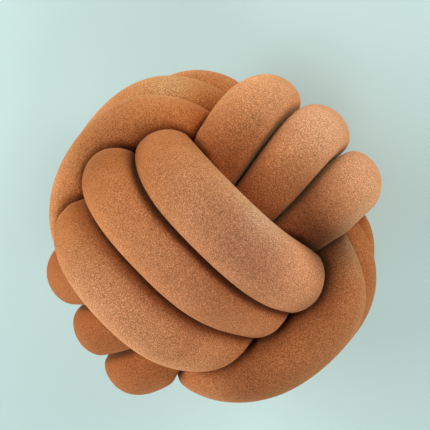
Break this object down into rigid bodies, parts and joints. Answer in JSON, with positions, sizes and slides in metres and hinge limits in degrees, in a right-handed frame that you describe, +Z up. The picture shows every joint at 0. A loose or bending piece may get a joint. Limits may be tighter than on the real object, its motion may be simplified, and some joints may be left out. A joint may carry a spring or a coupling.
{
  "type": "knot cushion",
  "caption": "Ball-shaped knot cushion made of one long stuffed plush tube, wound in bands that pass over and under each other; decorative throw pillow or back support.",
  "frame": {"origin": "middle of the flattened underside on which the cushion lies", "axes": "+Z up, out of the front face that the picture shows; +X along the passes that cross the front face; +Y towards the side where the finger-like tube ends stand out"},
  "size_m": [0.2554, 0.2678, 0.2482],
  "materials": {
    "plush": "short-pile polyester velour, caramel brown, soft sheen"
  },
  "bodies": {
    "root": {"knot_tube": "plush"}
  },
  "joints": []
}
